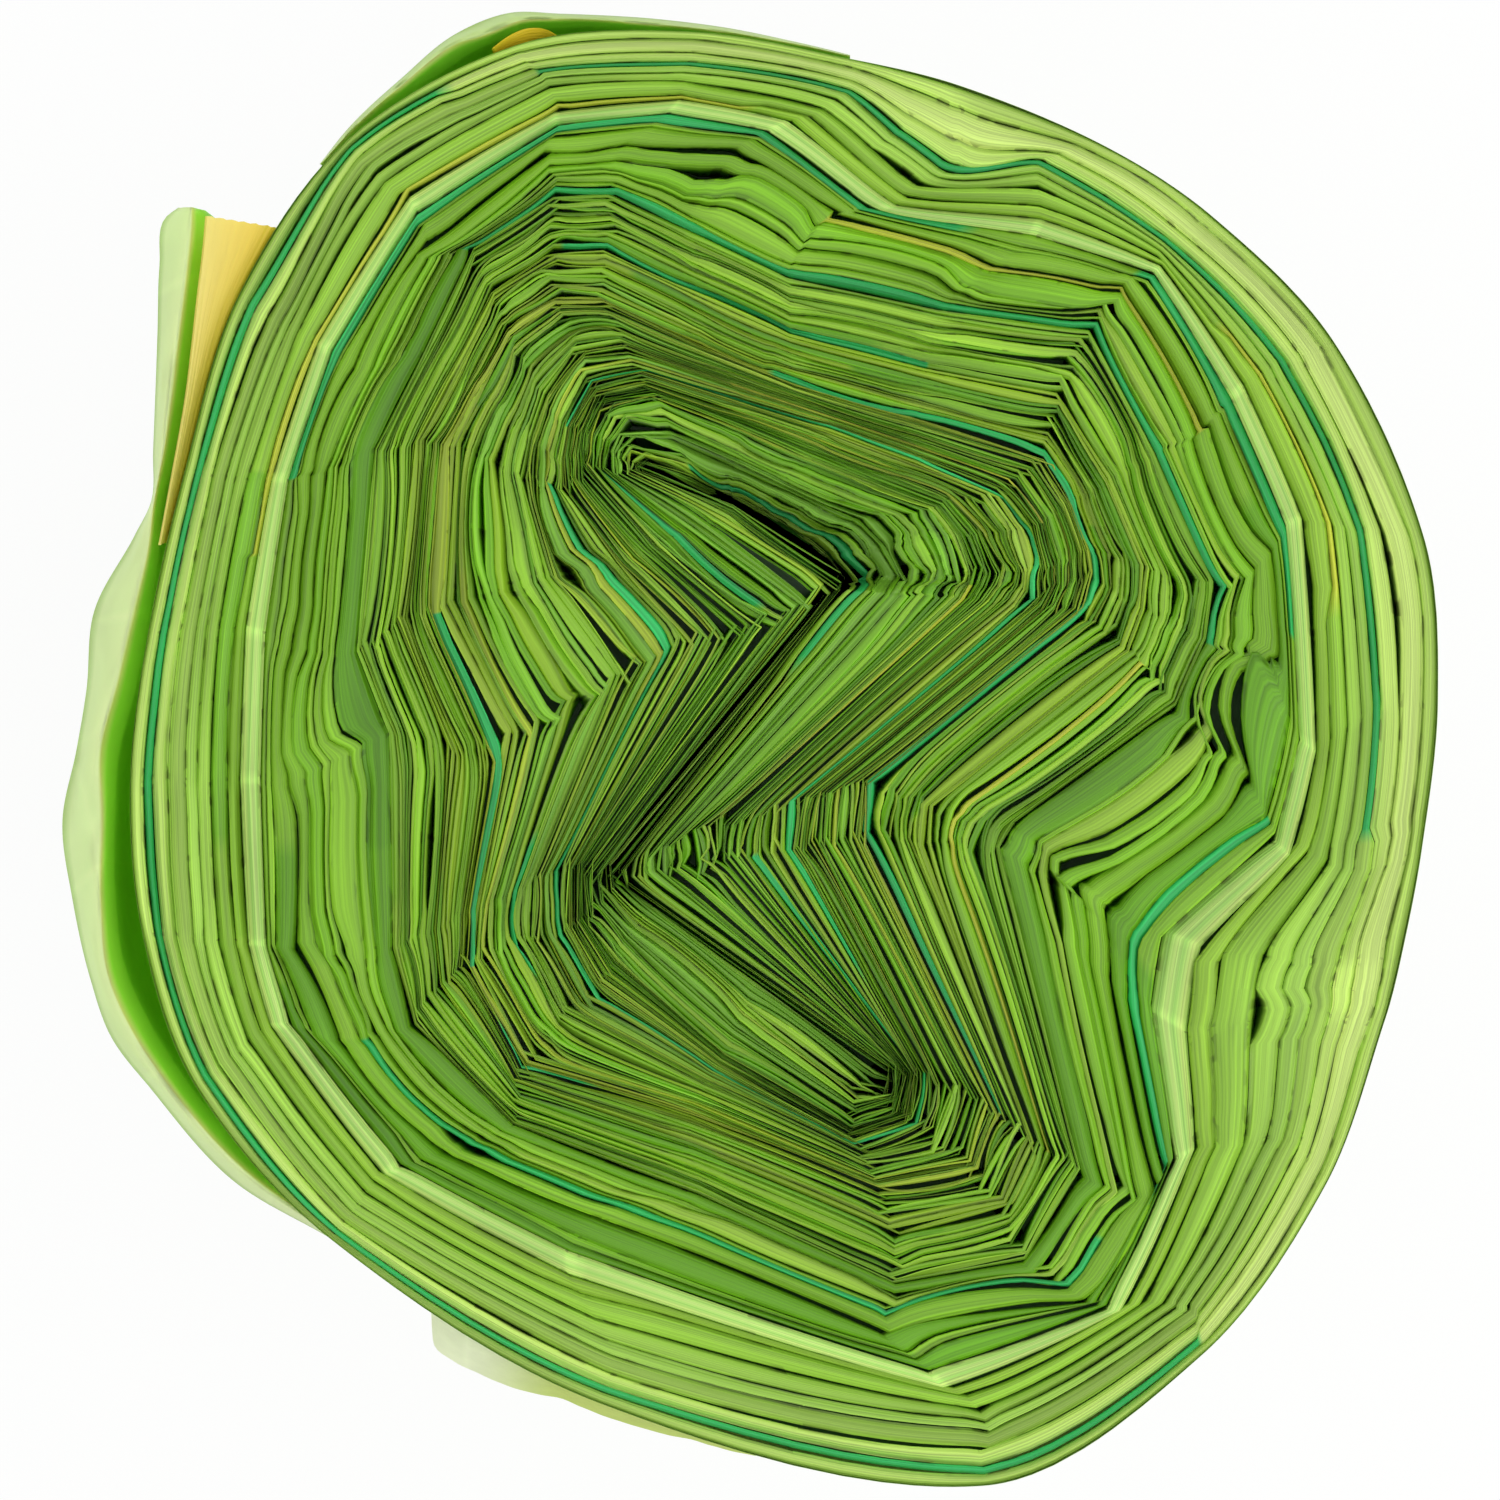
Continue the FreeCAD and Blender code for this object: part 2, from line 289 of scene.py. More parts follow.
def film_material(name, see_through, line_scale, line_contrast, crinkles=0.0):
    """Film in the colours of the tint attribute, whose fourth number says where the painted shade of dark
    slits may show.
    see_through is the share of the light that comes through from behind, line_scale the number
    of lines along and across the map, line_contrast how much lighter or darker they are, and
    crinkles the height in metres of the sharp wrinkles of a slack ply."""
    material, tree, output = new_material(name)
    tint = add_node(tree, "Attribute", attribute_name="tint")
    film_map = add_node(tree, "UVMap", uv_map="film")
    stretched = add_node(tree, "Mapping", {"Vector": film_map.outputs[0], "Scale": line_scale})
    lines = add_node(tree, "TexNoise", {
        "Vector": stretched.outputs[0], "Scale": UNSCALED, "Detail": LINE_DETAIL})
    shade = add_node(tree, "MapRange", {
        "Value": lines.outputs[0], "From Min": LINE_RANGE[0], "From Max": LINE_RANGE[1],
        "To Min": 1 - line_contrast, "To Max": 1 + line_contrast})
    lined = add_node(tree, "VectorMath", {0: tint.outputs["Color"], 1: shade.outputs[0]},
                     operation="MULTIPLY")
    scattered = add_node(tree, "Mapping", {"Vector": film_map.outputs[0], "Scale": SLIT_SCALE})
    slits = add_node(tree, "TexNoise", {
        "Vector": scattered.outputs[0], "Scale": UNSCALED, "Detail": ONE_FINER})
    slit = add_node(tree, "MapRange", {
        "Value": slits.outputs[0], "From Min": SLIT_RANGE[0], "From Max": SLIT_RANGE[1]})
    # painted shade: the colour is darkened where a slit may show
    at_edge = add_node(tree, "Math", {0: slit.outputs[0], 1: tint.outputs["Alpha"]},
                       operation="MULTIPLY")
    kept = add_node(tree, "Math", {0: at_edge.outputs[0], 1: SLIT_SHADE, 2: 1.0},
                    operation="MULTIPLY_ADD")
    coloured = add_node(tree, "VectorMath", {0: lined.outputs[0], 1: kept.outputs[0]},
                        operation="MULTIPLY")
    bump = add_node(tree, "Bump", {
        "Height": lines.outputs[0], "Distance": LINE_HEIGHT, "Strength": LINE_SHARPNESS})
    if crinkles:
        spot = add_node(tree, "TexCoord")
        upright = add_node(tree, "Mapping", {"Vector": spot.outputs["Object"], "Scale": CRINKLE_SCALE})
        bend = add_node(tree, "TexNoise", {
            "Vector": upright.outputs[0], "Scale": BEND_SCALE, "Detail": ONE_FINER})
        bent = add_node(tree, "VectorMath", {0: bend.outputs["Color"], 1: [CRINKLE_BEND] * 3,
                                             2: upright.outputs[0]}, operation="MULTIPLY_ADD")
        facets = add_node(tree, "TexVoronoi", {"Vector": bent.outputs[0], "Scale": UNSCALED},
                          feature="DISTANCE_TO_EDGE")
        # painted highlight: the colour is lighter along the folds between facets
        glint = add_node(tree, "MapRange", {
            "Value": facets.outputs["Distance"], "From Max": CRINKLE_EDGE,
            "To Min": CRINKLE_GLINT, "To Max": 1.0})
        coloured = add_node(tree, "VectorMath", {0: coloured.outputs[0], 1: glint.outputs[0]},
                            operation="MULTIPLY")
        bump = add_node(tree, "Bump", {"Height": facets.outputs["Distance"], "Distance": crinkles,
                                       "Normal": bump.outputs[0]})
    surface = add_node(tree, "BsdfPrincipled", {
        "Base Color": coloured.outputs[0], "Roughness": FILM_ROUGHNESS, "IOR": FILM_IOR,
        "Normal": bump.outputs[0]})
    passing = add_node(tree, "BsdfTranslucent", {"Color": coloured.outputs[0]})
    film = add_node(tree, "MixShader", {0: see_through, 1: surface.outputs[0], 2: passing.outputs[0]})
    tree.links.new(film.outputs[0], output.inputs["Surface"])
    return material


def grid_faces(rows, columns, closed):
    """Quads between the points of a grid whose rows may close on themselves."""
    row = np.arange(rows - 1)[:, None]
    column = np.arange(columns if closed else columns - 1)[None, :]
    after = (column + 1) % columns
    corners = [row * columns + column, row * columns + after,
               (row + 1) * columns + after, (row + 1) * columns + column]
    return np.stack(corners, -1).reshape(-1, 4)


def add_map(mesh, name, faces, columns, ways):
    """A map that runs from 0 to 1 along the film, and across it by the number of each row."""
    column = faces % columns
    # a face that joins the last column to the first one ends one column further on
    joins = (column == 0) & (column.max(1, keepdims=True) == columns - 1)
    column = np.where(joins, columns, column)
    both = np.stack([column / columns, np.asarray(ways)[faces // columns]], -1)
    mesh.uv_layers.new(name=name).data.foreach_set("uv", both.astype(np.float32).ravel())


def build_piece(name, points, faces, tints, slits, ways, material):
    """A mesh piece from rows of points in metres, with a colour and a slit number, for where painted slit
    shade may show, for each point and the place of each row across the film."""
    rows, columns = points.shape[:2]
    mesh = bpy.data.meshes.new(name)
    mesh.from_pydata(points.reshape(-1, 3).tolist(), [], faces.tolist())
    mesh.polygons.foreach_set("use_smooth", np.ones(len(faces), bool))
    colours = np.zeros((rows, columns, 4), np.float32)
    colours[..., :3] = tints
    colours[..., 3] = slits
    mesh.color_attributes.new("tint", "FLOAT_COLOR", "POINT").data.foreach_set("color", colours.ravel())
    add_map(mesh, "film", faces, columns, ways)
    add_map(mesh, "OFBake", faces, columns, (np.arange(rows) + 0.5) / rows)
    mesh.materials.append(material)
    return add_object(name, mesh)


def sheet_piece(name, points, tints, material, closed, turned=False, ways=None):
    """One sheet from a grid of points. turned faces it the other way."""
    faces = grid_faces(points.shape[0], points.shape[1], closed)
    if turned:
        faces = faces[:, ::-1]
    if ways is None:
        ways = np.arange(len(points))
    return build_piece(name, points, faces, tints, 0.0, ways, material)


def hand_over(piece, node):
    """Tie a piece to the CAD solid that it takes the place of."""
    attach(piece, "root")
    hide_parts(node)


# End faces: the folded edges of the film.
# Each turn of the web shows as a bundle of a few leaves, which swell between two creases, part at
# some of them and change their colour where a bag ends. One broad pale leaf, the ribbon, is the
# side of a bag that was folded over, and some teal and olive leaves are plies of another tint.
UPPER_LEAVES = 106
LOWER_LEAVES = 42
LEAVES_PER_PIECE = 38
UPPER_SINK = 0.0004      # how far the leaves' crests lie inside the roll's two ends
LOWER_SINK = 0.0016
CORE_SHARE = -0.05       # the middle line of the collapsed core
RIBBON_SHARES = (0.750, 0.787)
BROAD_FROM = 0.79        # outside this share the plies lie in broad smooth bands
BROAD_BLEND = 0.05
OUTER_BANDS = 8
BAND_UNEVENNESS = 0.20
WIDER_FROM = 0.80        # of the leaves; those further out are wider
WIDER_BY = 2.7
UNEVENNESS = 0.40        # of the leaves' widths, as a share of each width
LEAF_MAP_SCALE = 110     # the film map counts about one for each leaf across it


def leaf_edges(count, numbers):
    """Shares of the winding at which one leaf ends and the next begins, unevenly spaced, with
    one broad leaf for the ribbon and a few bands outside it."""
    widths = np.exp(UNEVENNESS * numbers.standard_normal(count))
    widths[int(WIDER_FROM * count):] *= WIDER_BY
    reach = np.concatenate([[0], np.cumsum(widths)]) / widths.sum()
    edges = CORE_SHARE + (1 - CORE_SHARE) * reach
    start = np.argmin(np.abs(edges - RIBBON_SHARES[0]))
    bands = np.exp(BAND_UNEVENNESS * numbers.standard_normal(OUTER_BANDS))
    outside = RIBBON_SHARES[1] + (1 - RIBBON_SHARES[1]) * np.cumsum(bands) / bands.sum()
    return np.concatenate([edges[:start], RIBBON_SHARES, outside])


# Steps along a contour, in pixels from a crease: close beside it, wider apart between two creases
STEPS_FROM_CREASE = np.array([3, 7, 13, 21, 32, 47, 67, 92, 122])
MIDDLE_SHARE = 0.6


def sample_positions():
    """Positions, counted in creases, at which every contour is drawn."""
    corners = crease_points(MIDDLE_SHARE)
    found = []
    for crease in range(CREASES):
        span = np.linalg.norm(corners[(crease + 1) % CREASES] - corners[crease])
        steps = STEPS_FROM_CREASE[STEPS_FROM_CREASE < span / 2] / span
        found.extend(crease + np.concatenate([[0], steps, [0.5], 1 - steps[::-1]]))
    return np.array(found)


def wander(positions, period, numbers, rows=1):
    """Smooth random numbers along a contour, one row each, whose ends meet."""
    count = max(int(CREASES / period), 2)
    knots = numbers.standard_normal((rows, count))
    reached = positions / CREASES * count
    index = np.floor(reached).astype(int) % count
    way = ease(0, 1, reached - np.floor(reached))
    return knots[:, index] * (1 - way) + knots[:, (index + 1) % count] * way


BUNDLE_LEAVES = (3, 6)   # from three to five leaves make one bundle
BAND_LEAVES = (1, 4)     # and from one to three a band near the rim


def bundle_starts(edges, numbers):
    """Which leaf edges are also the edge of a bundle."""
    starts = np.zeros(len(edges), bool)
    leaf = 0
    while leaf < len(edges) - 1:
        starts[leaf] = True
        leaf += numbers.integers(*(BUNDLE_LEAVES if edges[leaf] < BROAD_FROM else BAND_LEAVES))
    starts |= np.isin(edges, RIBBON_SHARES)
    starts[-1] = True
    return starts


BLUNT_TURN = 0.10        # in radians: the film stays closed at a crease that turns less,
SHARP_TURN = 0.7         # and opens most readily at one that turns more than this
RIM_BLUNTNESS = 0.7      # how much less readily it opens near the rim
TINY = 1e-9


def crease_sharpness(corners, share):
    """How sharply a contour turns at each crease, from 0 to 1, and its direction there."""
    before = corners - np.roll(corners, 1, 0)
    after = np.roll(corners, -1, 0) - corners
    before /= lengths(before)
    after /= lengths(after)
    turn = np.arccos(np.clip((before * after).sum(1), -1, 1))
    along = before + after
    along /= lengths(along) + TINY
    return ease(BLUNT_TURN, SHARP_TURN, turn) * (1 - RIM_BLUNTNESS * roundness_at(share)), along


def distance_to_creases(line, positions):
    """Distance in pixels along a contour from each sample to each crease."""
    steps = np.linalg.norm(np.roll(line, -1, 0) - line, axis=1)
    reach = np.concatenate([[0], np.cumsum(steps)[:-1]])
    at = reach[np.searchsorted(positions, np.arange(CREASES))]
    away = np.abs(reach[None, :] - at[:, None])
    return np.minimum(away, steps.sum() - away)


def by_stretch(values, positions, blend):
    """Numbers that hold for a whole stretch between two creases, one row for each leaf, and that
    pass smoothly into those of the next stretch."""
    crease = np.floor(positions).astype(int)
    way = positions - crease
    leaving = 0.5 * (1 - ease(0, blend, way))
    arriving = 0.5 * ease(1 - blend, 1, way)
    return (values[:, crease] * (1 - leaving - arriving) + values[:, crease - 1] * leaving
            + values[:, (crease + 1) % CREASES] * arriving)


def near_rim(shares, value):
    """1 for the inner turns and the given value for the broad bands near the rim."""
    return 1 - (1 - value) * ease(BROAD_FROM - BROAD_BLEND, BROAD_FROM + BROAD_BLEND, shares)[:, None]


def bulge(positions):
    """0 at the creases and 1 half-way between them."""
    return np.sin(math.pi * (positions - np.floor(positions)))


# Lines of another colour: share of the winding, the positions where they begin and end, and
# their width in leaves
TEAL_LINES = [
    (0.01, 9, 17.3, 0.9), (0.165, 19.0, 20.0, 1.2), (0.215, 7, 19.5, 1.1), (0.23, 20, 29, 1.0),
    (0.39, 10.8, 20, 1.2), (0.40, 23.6, 24.4, 1.0), (0.385, 25, 28, 1.0), (0.57, 7, 16, 1.3),
    (0.735, 5.0, 11.7, 1.9), (0.743, 12.9, 15.5, 2.0), (0.725, 17.0, 20.4, 1.6),
    (0.90, 8, 16.8, 1.2), (0.966, 21, 31.5, 1.3), (-0.025, 10, 16, 1.0), (0.07, 3.2, 5, 1.0),
    (0.31, 0.6, 2.3, 1.0), (0.63, 20.5, 25, 1.5), (0.47, 8.2, 12, 1.0)]
OLIVE_LINES = [
    (0.803, 4.5, 9.6, 0.8), (0.27, 10, 14, 0.9), (0.66, 11, 14, 0.9), (0.50, 17, 20, 0.8),
    (0.12, 16, 18, 0.8), (0.81, 13.6, 15.4, 0.6)]
# Openings that the photograph shows: share, the positions between which they open, and how far
OPEN_GAPS = [
    (0.955, 14.5, 16.1, 0.5), (0.33, 4.2, 5.0, 0.6), (0.26, 3.85, 4.2, 0.9), (0.49, 2.1, 2.8, 0.7),
    (0.66, 9.6, 10.1, 0.9), (0.85, 10.5, 11.1, 0.6), (0.64, 23.8, 24.2, 1.0), (0.655, 17.8, 18.3, 1.0),
    (0.62, 18.8, 19.2, 0.9), (0.84, 18.6, 19.2, 0.6), (0.60, 16.9, 17.2, 0.8), (0.42, 6.9, 7.2, 0.7),
    (0.86, 6.6, 7.4, 0.4)]
LENS = (-0.25, 0.0, 0.35, 0.8)           # how far a bundle or leaf swells between two creases
LENS_ODDS = (0.30, 0.35, 0.20, 0.15)
LONG_STRETCH = 160                       # pixels between two creases for the whole swelling
BUNDLE_GAPS = (0.0, 0.05, 0.13, 0.30)    # how far two bundles part along a stretch
BUNDLE_GAP_ODDS = (0.56, 0.26, 0.13, 0.05)
LEAF_GAPS = (0.0, 0.03, 0.10)            # how far two leaves of one bundle part
LEAF_GAP_ODDS = (0.86, 0.11, 0.03)
GAP_BLEND = 0.3
GAP_AT_CREASE = 0.3                      # what is left of a stretch's gap at its two creases
BUNDLES_PART = (0.55, 1.0)               # the chance of a gap at a sharp crease, and the widest one
LEAVES_PART = (0.22, 0.5)
CLOSED_CREASE = 0.02                     # how far the other creases are open
CREASE_GAP_PARTS = (0.3, 1.0)            # of the widest one
CREASE_GAP_REACH = (6, 28)               # pixels to each side of the crease
CREASE_GAP_TAPER = 1.2
OPENING_BLUNTNESS = 0.7                  # of the ends of an opening that the photograph shows
WIDEST_GAP = 1.9                         # in leaves, for an opening of one
NARROWEST_GAP = 0.03


def on_line(share_low, share_high, lines, positions):
    """Where along a leaf one of these lines of another colour runs, and how wide it is."""
    shown = np.zeros(len(positions), bool)
    breadth = None
    for line_share, begin, finish, width in lines:
        if share_low <= line_share < share_high:
            shown |= (positions - begin) % CREASES <= finish - begin
            breadth = width
    return shown, breadth


def leaf_openness(edges, starts, positions, sharpness, lines, numbers):
    """How far the gap before each leaf is open: along whole stretches, at sharp creases, and
    where the photograph shows an opening."""
    size = (len(edges), CREASES)
    between_bundles = numbers.choice(BUNDLE_GAPS, size, p=BUNDLE_GAP_ODDS)
    between_leaves = numbers.choice(LEAF_GAPS, size, p=LEAF_GAP_ODDS)
    gaps = np.where(starts[:, None], between_bundles, between_leaves)
    openness = by_stretch(gaps, positions, GAP_BLEND)
    openness *= GAP_AT_CREASE + (1 - GAP_AT_CREASE) * bulge(positions)
    for leaf, sharp in enumerate(sharpness):
        away = distance_to_creases(lines[leaf][0], positions)
        chance, widest = BUNDLES_PART if starts[leaf] else LEAVES_PART
        opens = numbers.random(CREASES) < chance
        gap = widest * numbers.uniform(*CREASE_GAP_PARTS, CREASES)
        open_here = np.where(opens, gap, CLOSED_CREASE)
        reach = numbers.uniform(*CREASE_GAP_REACH, CREASES)
        fading = np.exp(-(away / reach[:, None]) ** CREASE_GAP_TAPER)
        opening = (open_here * sharp)[:, None] * fading
        openness[leaf] = np.maximum(openness[leaf], opening.max(0))
    for share, begin, finish, amount in OPEN_GAPS:
        nearest = np.argmin(np.abs(edges - share))
        way = ((positions - begin) % CREASES) / (finish - begin)
        opening = amount * np.sin(math.pi * np.minimum(way, 1)) ** OPENING_BLUNTNESS
        openness[nearest] = np.maximum(openness[nearest], opening)
    openness[-1] = 0     # the outermost turn lies close on the last leaf
    return openness


BLOCK = 12               # leaves whose widths and gaps are balanced together
INNERMOST_CORNERS = 0.02  # further in, a contour folds onto itself and its turns can't be read
RIM_CALM = 0.75          # near the rim the leaves' widths vary less by this part
BUNDLE_LENS = 0.7        # swelling of a whole bundle beside that of one leaf
WIDTH_SPREAD = 0.32
WIDTH_BLEND = 0.25
LENS_BLEND = 0.1         # parts of a stretch over which it passes into the next one
DRIFT = 3.0              # in pixels: creases wander along the film from one leaf to the next,
DRIFT_KEPT = 0.6         # and keep this part of where they were
JITTER = 4.0             # in pixels, of each leaf by itself
BLUNT_JITTER = 0.25      # what is left of both at a crease that hardly turns


def lay_leaves(edges, starts, positions, numbers):
    """Where every leaf lies: the lines of its two nominal edges, its true edges as shares, the
    gaps, and how far the gap before each leaf is open."""
    leaves = len(edges) - 1
    bundle = np.cumsum(starts[:-1]) - 1
    nominal = np.diff(edges)
    middles = (edges[:-1] + edges[1:]) / 2
    usual = (1 - CORE_SHARE) / leaves
    corners = [crease_points(max(share, INNERMOST_CORNERS)) for share in middles]
    stretches = np.array([np.linalg.norm(np.roll(c, -1, 0) - c, axis=1) for c in corners])
    calm = near_rim(middles, 1 - RIM_CALM)
    lens = numbers.choice(LENS, (leaves, CREASES), p=LENS_ODDS)
    lens += BUNDLE_LENS * numbers.choice(LENS, (bundle[-1] + 1, CREASES), p=LENS_ODDS)[bundle]
    lens *= calm * np.clip(stretches / LONG_STRETCH, 0, 1)
    spread = np.exp(WIDTH_SPREAD * calm * numbers.standard_normal((leaves, CREASES)))
    width = nominal[:, None] * by_stretch(spread, positions, WIDTH_BLEND)
    width *= 1 + by_stretch(lens, positions, LENS_BLEND) * bulge(positions)
    lines = []
    sharpness = []
    drift = np.zeros(CREASES)
    for leaf in range(leaves):
        shown, breadth = on_line(edges[leaf], edges[leaf + 1], TEAL_LINES + OLIVE_LINES, positions)
        if edges[leaf] == RIBBON_SHARES[0]:
            width[leaf] = nominal[leaf]
        elif breadth is not None:
            width[leaf] = np.where(shown, breadth * usual, width[leaf])
        sharp, along = crease_sharpness(corners[leaf], middles[leaf])
        drift = DRIFT_KEPT * drift + DRIFT * numbers.standard_normal(CREASES)
        jitter = drift + JITTER * numbers.standard_normal(CREASES)
        moved = along * (jitter * (BLUNT_JITTER + (1 - BLUNT_JITTER) * sharp))[:, None]
        line_in = trace(crease_points(edges[leaf]) + moved, positions, middles[leaf])
        line_out = trace(crease_points(edges[leaf + 1]) + moved, positions, middles[leaf])
        lines.append((line_in, line_out))
        sharpness.append(sharp)
    openness = leaf_openness(edges, starts, positions, sharpness, lines, numbers)
    gap_width = usual * (NARROWEST_GAP + WIDEST_GAP * openness)
    # the leaves and gaps of each block fill the block's share of the winding
    inner = np.zeros((leaves, len(positions)))
    outer = np.zeros((leaves, len(positions)))
    ribbon = int(np.argmin(np.abs(edges - RIBBON_SHARES[0])))
    blocks = sorted({*range(0, leaves, BLOCK), ribbon, ribbon + 1, leaves})
    for first, last in zip(blocks, blocks[1:]):
        filled = (width[first:last] + gap_width[first:last]).sum(0)
        scale = (edges[last] - edges[first]) / filled
        run = edges[first]
        for leaf in range(first, last):
            inner[leaf] = run + gap_width[leaf] * scale
            outer[leaf] = inner[leaf] + width[leaf] * scale
            run = outer[leaf]
    return lines, inner, outer, gap_width, openness


NEIGHBOURS = 5           # bundles over which the relief has no trend


def without_trend(rows, span):
    """The rows less their running mean over neighbouring ones."""
    padded = np.pad(rows, ((span // 2, span // 2), (0, 0)), "edge")
    totals = np.cumsum(np.pad(padded, ((1, 0), (0, 0))), 0)
    return rows - (totals[span:] - totals[:-span]) / span


BUNDLE_RELIEF = 0.00028
BUNDLE_ROUNDING = 0.00014
LEAF_RELIEF = 0.00007
LEAF_TILT = 0.00005
LEAF_ROUNDING = 0.009    # height of a leaf's middle for each unit of its share
PLY_RELIEF = 0.000045    # how far the plies of one leaf stand above one another
CORE_SINK = 0.0045       # the innermost turns have slipped down by up to this much and are painted this much darker there, as painted shade
CORE_SHADE = 0.42        # and are this much darker there
CORE_SLIP_TO = 0.10      # share of the winding up to which turns have slipped
CORE_SLIP_RISE = (8.5, 10)    # they slipped furthest on the right side, between these creases
CORE_SLIP_FALL = (15.5, 17)
SLIP_ELSEWHERE = 0.2
RELIEF_PERIOD = 2.0      # in creases
RELIEF_BLEND = 0.2
HIGHEST_BUNDLE = 2.2     # times the usual relief
CREST_PAINTED_LIGHT = 0.07       # painted light: a bundle that stands high is painted this much lighter
OWN_LEAN = 0.7           # of a leaf, beside the lean of its bundle
OUTWARD_LEAN = 0.6       # the leaves lean away from the middle of their bundle
BUNDLE_GROOVE = 0.00020
LEAF_GROOVE = 0.00005
RIM_GROOVES = 0.3        # depth of the grooves between the bands near the rim, as a part
GROOVE_SPREAD = 0.6
DEEPEST_GAP = 0.0042


def random_stretches(rows, positions, numbers):
    """Random numbers that hold for a whole stretch between two creases."""
    return by_stretch(numbers.standard_normal((rows, CREASES)), positions, RELIEF_BLEND)


def leaf_relief(edges, starts, positions, numbers):
    """Heights of every leaf's crest and its tilt, how much lighter it is painted for its height, how deep
    the groove before it is, and how far it has slipped into the core."""
    bundle = np.cumsum(starts[:-1]) - 1
    leaves = len(bundle)
    middles = (edges[:-1] + edges[1:]) / 2
    walk = np.cumsum(wander(positions, RELIEF_PERIOD, numbers, bundle[-1] + 1), 0)
    group = np.clip(without_trend(walk, NEIGHBOURS), -HIGHEST_BUNDLE, HIGHEST_BUNDLE)[bundle]
    first = edges[:-1][starts[:-1]][bundle]
    last = edges[starts][1:][bundle]
    across = 2 * (middles - first) / (last - first) - 1
    crest = BUNDLE_RELIEF * group - BUNDLE_ROUNDING * (across**2)[:, None]
    crest += LEAF_RELIEF * random_stretches(leaves, positions, numbers)
    lean = random_stretches(bundle[-1] + 1, positions, numbers)[bundle]
    own_lean = random_stretches(leaves, positions, numbers)
    tilt = LEAF_TILT * (lean + OWN_LEAN * own_lean - OUTWARD_LEAN * across[:, None])
    right_side = ease(*CORE_SLIP_RISE, positions) * (1 - ease(*CORE_SLIP_FALL, positions))
    slipped = (1 - ease(CORE_SHARE, CORE_SLIP_TO, middles))[:, None]
    slipped = slipped * (SLIP_ELSEWHERE + (1 - SLIP_ELSEWHERE) * right_side)
    crest -= slipped * CORE_SINK
    depth = np.where(starts, BUNDLE_GROOVE, LEAF_GROOVE)[:, None] * near_rim(edges, RIM_GROOVES)
    grooves = np.exp(GROOVE_SPREAD * random_stretches(leaves + 1, positions, numbers))
    return crest, tilt, 1 + CREST_PAINTED_LIGHT * group, depth * grooves, slipped


def linear(hex_code):
    """Linear colour for an sRGB hex value."""
    parts = [int(hex_code[i:i + 2], 16) / 255 for i in (0, 2, 4)]
    return np.array([c / 12.92 if c <= 0.04045 else ((c + 0.055) / 1.055) ** 2.4 for c in parts])


# Greens of the stacked film edges in the photograph
COMMON_GREENS = np.array([linear(code) for code in (
    "7CBA1A", "8ABE28", "72B212", "92C230", "6AAA10", "9AC638", "A6C02E", "64A40E", "80BC34")])
TEAL = linear("2EBC60")
OLIVE = linear("C2CC3C")
RIM_GREEN = linear("C8E278")
PALENESS = (0.45, 1.0)   # how near the bands outside the ribbon come to the rim's green
PALEST_FROM = 0.97
# painted shade in the gaps between leaves
GAP_SHADE_GREEN = linear("2F7F04")
RIBBON_GREENS = np.array([linear(code) for code in (
    "D0EA82", "AEE06C", "C6E87C", "A2DA62", "CCE87A", "B2DE68")])
RIBBON_FOLD_HIGHLIGHT = 0.22       # painted highlight: how much lighter the ribbon is at its creases
RIBBON_HIGHLIGHT_REACH = (0.01, 0.05)   # in creases
LIGHT_SIDE_ODDS = (0.75, 0.25)     # that a leaf's outer or its inner side is painted the lighter one
SIDE_SHADE = 0.15        # painted light: how much lighter that side is than the middle of the leaf
# painted highlight along the fold of the lighter side
FOLD_GLINT = 0.10
OWN_GREEN = 0.45         # how far a leaf's green departs from that of its bundle
STREAKS = 0.05           # light and dark along a leaf,
STREAK_PERIOD = 0.8      # in creases,
LEAF_LIGHT = 0.05        # from one leaf to another,
STRETCH_LIGHT = 0.05     # from one stretch to another,
LIGHT_BLEND = 0.1
PLY_LIGHT = 0.07         # and from one ply to another
# Places across a leaf: the gap before it, six lines on its face, and the gap after it
ACROSS = np.array([0.0, 0.0, 0.18, 0.40, 0.60, 0.82, 1.0, 1.0])
# where the painted shade of slits may show: in the gaps, and less on the face's edges
SLITS_ACROSS = np.array([1.0, 0.6, 0.0, 0.0, 0.0, 0.0, 0.6, 1.0])
# Edges of many plies side by side: fine lines along each leaf, and some light from behind
stacked_film = film_material("stacked_polyethylene_film", see_through=0.15,
                             line_scale=(14.0, 3.6, 1.0), line_contrast=0.30)


